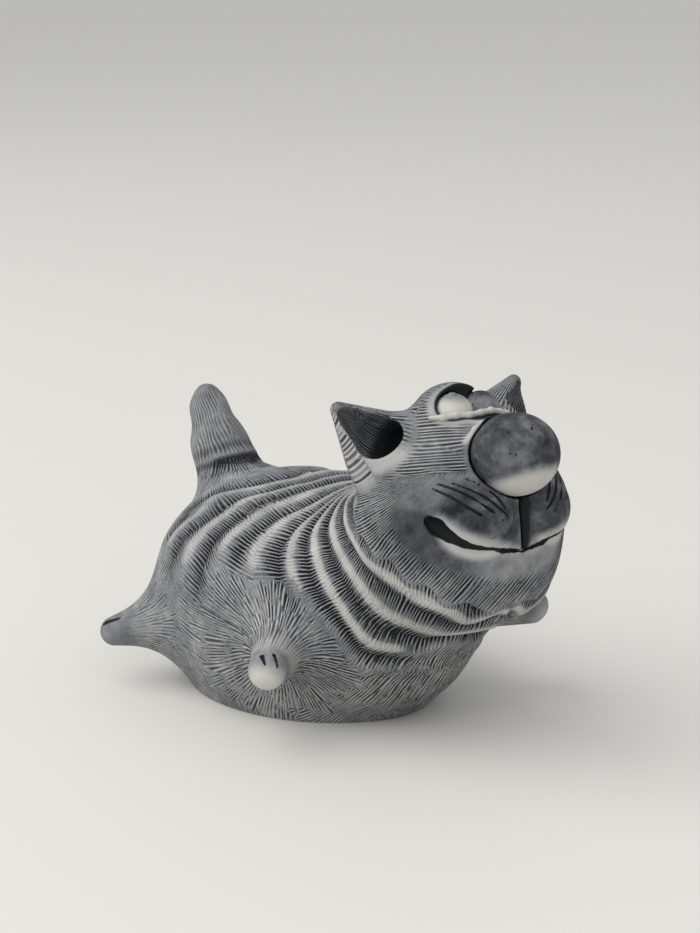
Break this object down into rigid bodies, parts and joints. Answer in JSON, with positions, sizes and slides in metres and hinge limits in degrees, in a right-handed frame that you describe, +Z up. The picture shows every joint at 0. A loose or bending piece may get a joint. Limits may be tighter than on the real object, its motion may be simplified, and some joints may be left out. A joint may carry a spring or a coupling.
{
  "type": "cat figurine",
  "caption": "Small matt figurine of a fat cartoon cat lying on its belly with its head raised, tail up and stub paws spread; a rigid ornament that stands on its flat base.",
  "frame": {"origin": "middle of the flat underside, on the surface it stands on", "axes": "+Z up out of the flat base, the cat looks along -Y, its left side is +X"},
  "size_m": [0.0508, 0.0754, 0.0487],
  "materials": {
    "coat": "matt unglazed body with a dark blue-grey wash left in the grooves and wiped off the raised hair",
    "muzzle": "matt, bare pale lower edge under an airbrushed dark band",
    "nose": "matt mottled slate grey above, bare pale below",
    "white_eye": "matt bare pale body",
    "grey_eye": "matt slate grey wash"
  },
  "bodies": {
    "root": {"torso": "coat", "head": "coat", "lower_jaw": "coat", "nose": "nose", "right_muzzle_pad": "muzzle", "left_muzzle_pad": "muzzle", "right_eye": "white_eye", "left_eye": "grey_eye", "brow": "coat", "lower_eyelid": "coat", "right_ear": "coat", "left_ear": "coat", "tail": "coat", "front_right_paw": "coat", "front_left_paw": "coat", "hind_right_paw": "coat", "hind_left_paw": "coat"}
  },
  "joints": []
}
